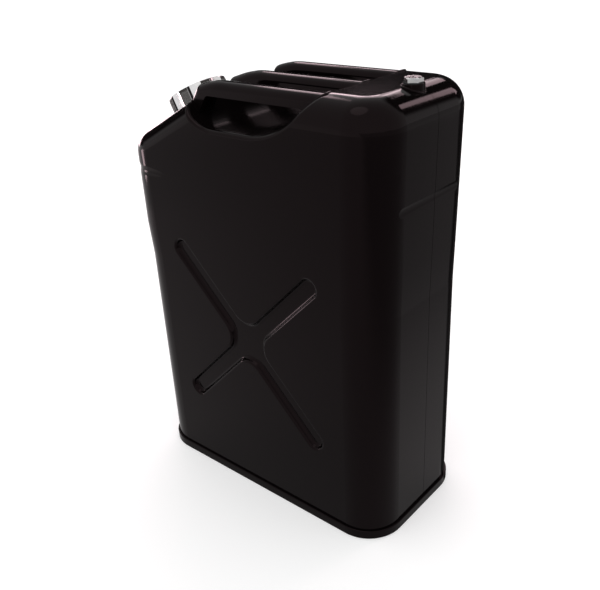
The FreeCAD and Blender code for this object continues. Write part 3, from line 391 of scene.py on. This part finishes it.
# The weld beads where the handles meet the hump and the crest of the shoulder, and round the vent boss. Each
# follows the edge of the faces that its piece rests on the pressed halves with, and the paint runs over it.
BEAD_RADIUS = 0.0015
BEAD_RIPPLE_STRENGTH, BEAD_RIPPLE_DEPTH = 0.5, 0.0004
SAME_CORNER, TOUCHING, FLUSH = 0.00002, 0.0003, 0.9
weld_paint, tree, shader, place = copy_material(enamel, "painted_weld")
ripple = put_group(tree, patches, place, Size=420.0, Low=0.0, High=1.0)
tree.links.new(bump(tree, ripple, BEAD_RIPPLE_STRENGTH, BEAD_RIPPLE_DEPTH), shader.inputs["Normal"])
skins = []
for shell in ("near_shell", "far_shell"):
    mesh = nodes[shell].data
    corners = [nodes[shell].matrix_world @ vertex.co for vertex in mesh.vertices]
    skins.append(BVHTree.FromPolygons(corners, [tuple(face.vertices) for face in mesh.polygons]))
for name in ("near_handle", "middle_handle", "far_handle", "vent_boss"):
    bpy.ops.object.select_all(action="DESELECT")
    welded = bpy.data.objects.new(f"{name}_source", nodes[name].data.copy())
    bpy.context.scene.collection.objects.link(welded)
    welded.matrix_world = nodes[name].matrix_world
    welded.select_set(True)
    bpy.context.view_layer.objects.active = welded
    bpy.ops.object.transform_apply(location=True, rotation=True, scale=True)
    bpy.ops.object.mode_set(mode="EDIT")
    bpy.ops.mesh.select_mode(type="FACE")
    bpy.ops.mesh.select_all(action="SELECT")
    bpy.ops.mesh.remove_doubles(threshold=SAME_CORNER)
    bpy.ops.mesh.select_all(action="DESELECT")
    bpy.ops.object.mode_set(mode="OBJECT")
    for face in welded.data.polygons:
        for skin in skins:
            spot, normal, _, far = skin.find_nearest(face.center)
            if spot is not None and far < TOUCHING and abs(normal.dot(face.normal)) > FLUSH:
                face.select = True
    bpy.ops.object.mode_set(mode="EDIT")
    bpy.ops.mesh.region_to_loop()
    bpy.ops.mesh.duplicate()
    bpy.ops.mesh.separate(type="SELECTED")
    bpy.ops.object.mode_set(mode="OBJECT")
    bead = [item for item in bpy.context.selected_objects if item is not welded][0]
    bpy.data.objects.remove(welded)
    bead.name = f"{name}_weld"
    bpy.context.view_layer.objects.active = bead
    bpy.ops.object.convert(target="CURVE")
    bead = bpy.context.object
    bead.data.bevel_depth = BEAD_RADIUS
    bead.data.bevel_resolution = 2
    bpy.ops.object.convert(target="MESH")
    bead = bpy.context.object
    bpy.ops.object.shade_smooth()
    bead.data.materials.clear()
    bead.data.materials.append(weld_paint)
    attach(bead, "root")


# A pale floor, white to the eye, with the can's soft shadow. Only what the can mirrors of it is dimmer: near
# the can, on the right where the room's light doesn't reach, and in a wedge behind the can, which draws the
# dark line down its far edge. Distances are in metres.
FLOOR_SIZE, FLOOR_ROUGHNESS = 30, 0.9
FLOOR_BLACK, FLOOR_WHITE, FLOOR_LIFT = (0.0, 0.0, 0.0, 1), (0.8, 0.8, 0.8, 1), 0.28
RIGHT_WAY, RIGHT_STARTS, RIGHT_DIMMED = (0.966, 0.259, 0.0), (0.15, 0.65), 0.5
WEDGE_TIP, WEDGE_WAY, WEDGE_EDGES, WEDGE_DIMMED = (0.17, 0.05, 0.0), (-0.174, 0.985, 0.0), (0.81, 0.89), 0.93
NEAR_ENDS, NEAR_DIMMED = (2.6, 1.6), 0.38
bpy.ops.object.select_all(action="DESELECT")
bpy.ops.mesh.primitive_plane_add(size=FLOOR_SIZE, location=(0, 0, 0))
floor = bpy.context.object
floor.name = "floor"
pale, tree, shader, place = new_material("pale_floor")
shader.inputs["Roughness"].default_value = FLOOR_ROUGHNESS
shader.inputs["Specular IOR Level"].default_value = 0.0
shader.inputs["Emission Color"].default_value = (1, 1, 1, 1)


def dimmed(mask, share):
    """1 where the mask is 0, and less by the share where it is 1."""
    return reckon(tree, "SUBTRACT", 1.0, reckon(tree, "MULTIPLY", mask, share))


to_right = step(tree, reckon_vector(tree, "DOT_PRODUCT", place, RIGHT_WAY), *RIGHT_STARTS)
from_tip = reckon_vector(tree, "NORMALIZE", reckon_vector(tree, "SUBTRACT", place, WEDGE_TIP))
in_wedge = step(tree, reckon_vector(tree, "DOT_PRODUCT", from_tip, WEDGE_WAY), *WEDGE_EDGES)
near = step(tree, reckon_vector(tree, "LENGTH", place), *NEAR_ENDS)
lit = reckon(tree, "MULTIPLY", dimmed(to_right, RIGHT_DIMMED), dimmed(in_wedge, WEDGE_DIMMED))
mirrored = reckon(tree, "MULTIPLY", lit, dimmed(near, NEAR_DIMMED))
rays = tree.nodes.new("ShaderNodeLightPath").outputs
floor_light = dimmed(rays["Is Glossy Ray"], reckon(tree, "SUBTRACT", 1.0, mirrored))
tree.links.new(blend(tree, floor_light, FLOOR_BLACK, FLOOR_WHITE, kind="RGBA"), shader.inputs["Base Color"])
seen = reckon(tree, "MAXIMUM", rays["Is Camera Ray"], rays["Is Glossy Ray"])
seen = reckon(tree, "MAXIMUM", seen, rays["Is Transmission Ray"])
lifted = reckon(tree, "MULTIPLY", reckon(tree, "MULTIPLY", seen, FLOOR_LIFT), floor_light)
tree.links.new(lifted, shader.inputs["Emission Strength"])
floor.data.materials.append(pale)


# The room: white to the eye, and in what the can mirrors of it a white tent with a dark opening behind the
# can. The opening is a low band round to the left for the flat tops, and a round part on the right for the
# rounded hump. Directions are in degrees, and edges are a direction's height or how far it faces the middle.
BAND_TOP, BAND_MIDDLE, BAND_EDGES = (0.38, 0.29), (142, 0), (0.50, 0.66)
ROUND_MIDDLE, ROUND_EDGES = (84, 26), (0.87, 0.93)
TENT_LIGHT, TENT_BRIGHT_WAY, TENT_BRIGHTER, OPENING_LIGHT = 0.95, (300, 0), 0.15, 0.015
ROOM_LIGHT = 0.95
world = bpy.data.worlds.new("studio_room")
bpy.context.scene.world = world
world.use_nodes = True
tree = world.node_tree
sky = tree.nodes["Background"]
sky.inputs["Color"].default_value = (1, 1, 1, 1)
towards = tree.nodes.new("ShaderNodeTexCoord").outputs["Generated"]


def way(azimuth, elevation):
    """The direction at two angles in degrees, from the can's length round to its far side, and upwards."""
    angle, height = math.radians(azimuth), math.radians(elevation)
    return Vector((math.cos(angle) * math.cos(height), math.sin(angle) * math.cos(height), math.sin(height)))


def facing(azimuth, elevation):
    """How far a direction faces another one: 1 straight at it."""
    return reckon_vector(tree, "DOT_PRODUCT", towards, way(azimuth, elevation))


_, _, upright = split(tree, towards)
band_height = step(tree, upright, *BAND_TOP)
band_reach = step(tree, facing(*BAND_MIDDLE), *BAND_EDGES)
round_part = step(tree, facing(*ROUND_MIDDLE), *ROUND_EDGES)
opening = reckon(tree, "MAXIMUM", reckon(tree, "MULTIPLY", band_height, band_reach), round_part)
brighter = reckon(tree, "MULTIPLY", facing(*TENT_BRIGHT_WAY), TENT_BRIGHTER)
tent = reckon(tree, "ADD", brighter, TENT_LIGHT)
mirrored = reckon(tree, "ADD", reckon(tree, "MULTIPLY", tent, dimmed(opening, 1.0)), OPENING_LIGHT)
rays = tree.nodes.new("ShaderNodeLightPath").outputs
room = blend(tree, rays["Is Glossy Ray"], ROOM_LIGHT, mirrored)
straight = reckon(tree, "MAXIMUM", rays["Is Camera Ray"], rays["Is Transmission Ray"])
tree.links.new(reckon(tree, "MAXIMUM", room, straight), sky.inputs["Strength"])


# The lamps: strips in the opening behind the can for the lines of light on its top, a low one far on the left,
# a low one in front of the shoulder, and a soft key light from high above the near side. A strip is placed and
# sized by angles in degrees, as seen from the hump's top, and leans by its tilt.
HUMP_TOP = Vector((0.12, -0.03, 0.47))
STRIP_TINT = (1.0, 0.76, 0.81)
KEY_LIGHT, KEY_WIDTH, KEY_TURN = 0.30, 32, (18, 0, -25)
for name, azimuth, elevation, tilt, length, width, radiance, distance in (
        ("left_foot", 130, 19.5, 12, 14, 6, 4.4, 2.4),
        ("fan", 124, 25.5, 0, 14, 18, 2.4, 2.4),
        ("left_strip", 141, 31, 60, 26, 7, 3.4, 2.4),
        ("left_head", 148, 40, 53, 12, 8, 2.0, 2.4),
        ("middle_strip", 110, 26, -30, 20, 6, 3.6, 2.4),
        ("right_strip", 72, 25, 90, 18, 9, 5.5, 2.4),
        ("low_left", 165, -4, 0, 26, 8, 7.0, 2.4),
        ("low_front", 198, -15, 0, 9, 6, 8.0, 1.3)):
    out, lean = way(azimuth, elevation), math.radians(tilt)
    across = Vector((-math.sin(math.radians(azimuth)), math.cos(math.radians(azimuth)), 0))
    along = across * math.cos(lean) + out.cross(across) * math.sin(lean)
    strip_data = bpy.data.lights.new(name, "AREA")
    strip_data.shape = "RECTANGLE"
    strip_data.size = 2 * distance * math.tan(math.radians(length / 2))
    strip_data.size_y = 2 * distance * math.tan(math.radians(width / 2))
    strip_data.energy = radiance * math.pi * strip_data.size * strip_data.size_y
    strip_data.color = STRIP_TINT
    strip = bpy.data.objects.new(name, strip_data)
    turned = Matrix((along, out.cross(along), out)).transposed()
    strip.matrix_world = Matrix.Translation(HUMP_TOP + out * distance) @ turned.to_4x4()
    bpy.context.scene.collection.objects.link(strip)
key_data = bpy.data.lights.new("key", "SUN")
key_data.energy = KEY_LIGHT
key_data.angle = math.radians(KEY_WIDTH)
key = bpy.data.objects.new("key", key_data)
key.rotation_euler = [math.radians(angle) for angle in KEY_TURN]
bpy.context.scene.collection.objects.link(key)


# The camera stands at the photograph's place: right of the near broad side, looking down on the can, and
# rolled a little about its own line of sight. Angles are in degrees, the lens and the sensor in millimetres.
CAMERA_PLACE = (0.5177, -0.5768, 0.6058)
CAMERA_AZIMUTH, CAMERA_ELEVATION, CAMERA_ROLL = 41.66, 26.38, -3.08
CAMERA_LENS, CAMERA_SENSOR, CAMERA_CLIP = 45.08, 36, (0.01, 100)
azimuth, elevation, roll = (math.radians(v) for v in (CAMERA_AZIMUTH, CAMERA_ELEVATION, CAMERA_ROLL))
back = Vector((math.sin(azimuth) * math.cos(elevation), -math.cos(azimuth) * math.cos(elevation),
               math.sin(elevation)))
right = (-back).cross(Vector((0, 0, 1))).normalized()
up = right.cross(-back)
rolled_right = right * math.cos(roll) + up * math.sin(roll)
rolled_up = up * math.cos(roll) - right * math.sin(roll)
camera_data = bpy.data.cameras.new("camera")
camera_data.lens = CAMERA_LENS
camera_data.sensor_width = CAMERA_SENSOR
camera_data.clip_start, camera_data.clip_end = CAMERA_CLIP
camera = bpy.data.objects.new("camera", camera_data)
bpy.context.scene.collection.objects.link(camera)
turned = Matrix((rolled_right, rolled_up, back)).transposed()
camera.matrix_world = Matrix.Translation(CAMERA_PLACE) @ turned.to_4x4()
bpy.context.scene.camera = camera
bpy.context.scene.view_settings.view_transform = "Standard"
